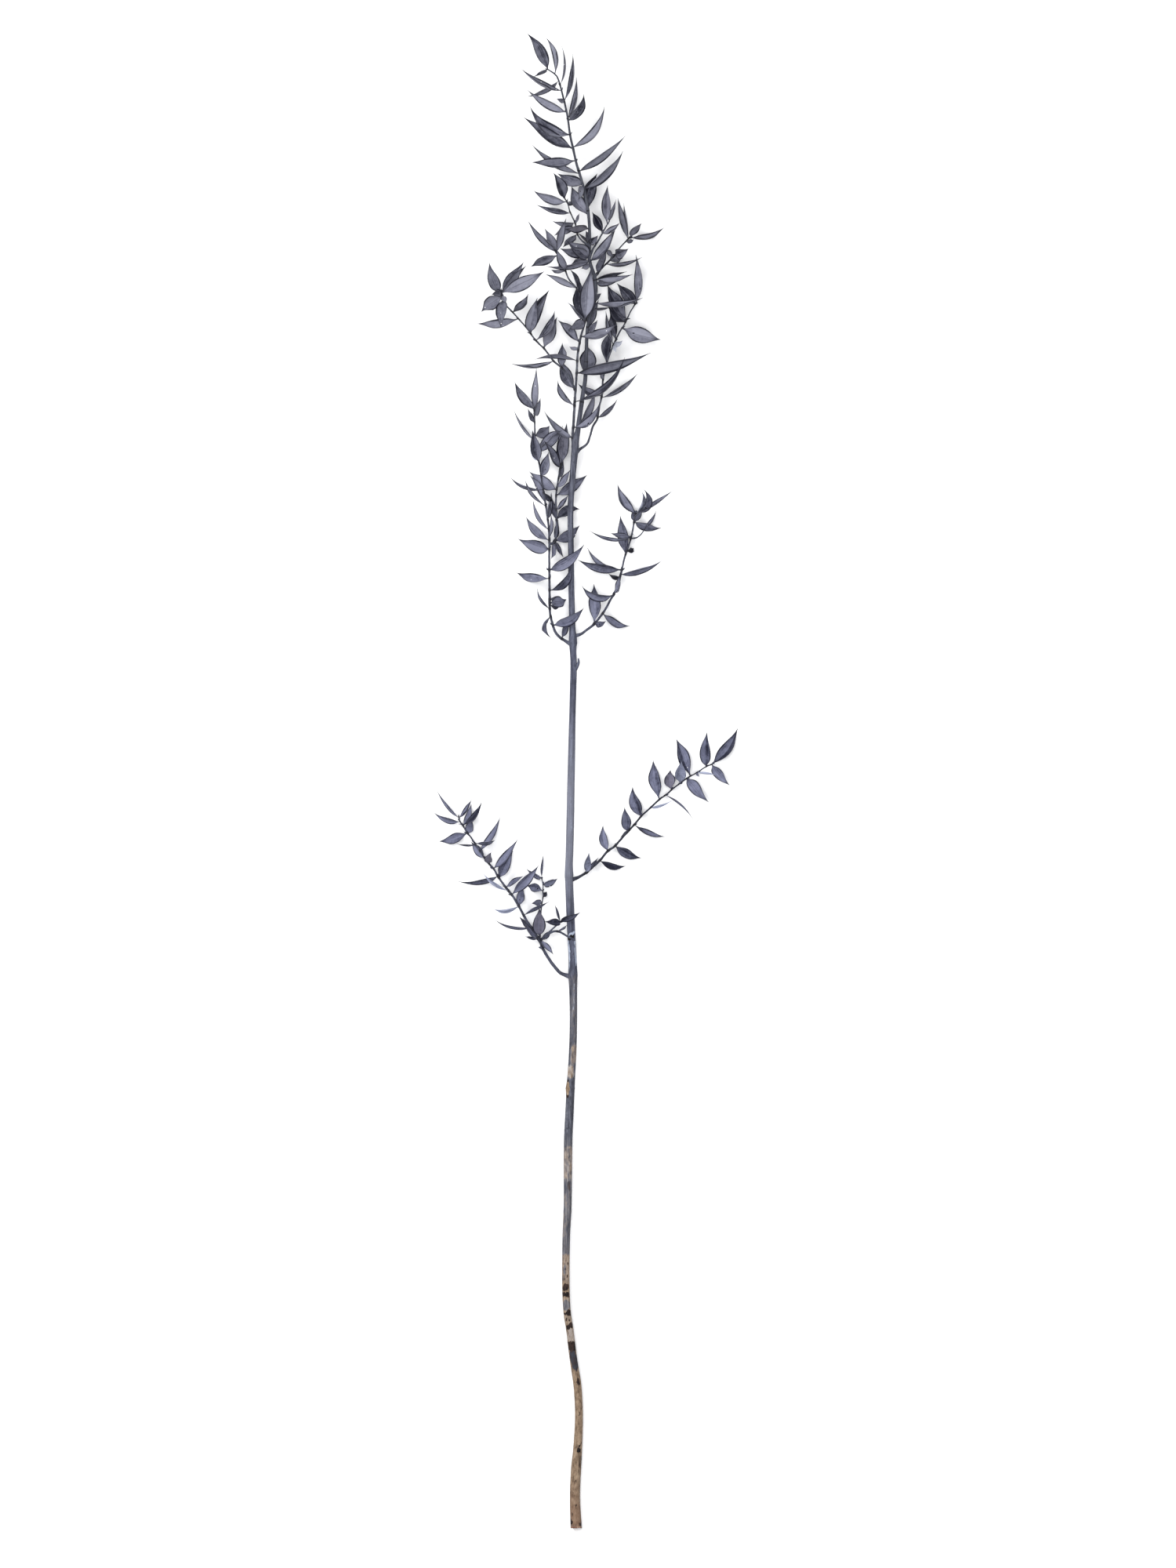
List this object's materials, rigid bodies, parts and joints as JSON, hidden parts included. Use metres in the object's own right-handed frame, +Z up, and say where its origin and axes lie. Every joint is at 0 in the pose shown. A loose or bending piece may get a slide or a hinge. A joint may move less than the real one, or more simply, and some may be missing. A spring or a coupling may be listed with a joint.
{
  "type": "dried ruscus stem",
  "caption": "Tall cut stem of dried ruscus with lance-shaped leaves on arching side sprays, lying on a surface as a loose floral stem.",
  "frame": {"origin": "flat spot under the stem, 12 mm from its cut end, on the surface that it lies on", "axes": "+Y along the stem from the cut end to the tip, +Z up from the surface, +X to the right seen from above"},
  "size_m": [0.2119, 1.0409, 0.0483],
  "materials": {
    "stem_bark": "dried bark tinted slate grey, bare brown wood at the cut end",
    "leaf": "matte dried leaf, tinted slate grey"
  },
  "bodies": {
    "root": {"main_stem": "stem_bark", "crown_front": "leaf", "crown_right": "leaf", "top_left": "leaf", "top_right": "leaf", "mid_left": "leaf", "mid_right": "leaf", "lower_left": "leaf", "lower_right": "leaf"}
  },
  "joints": []
}
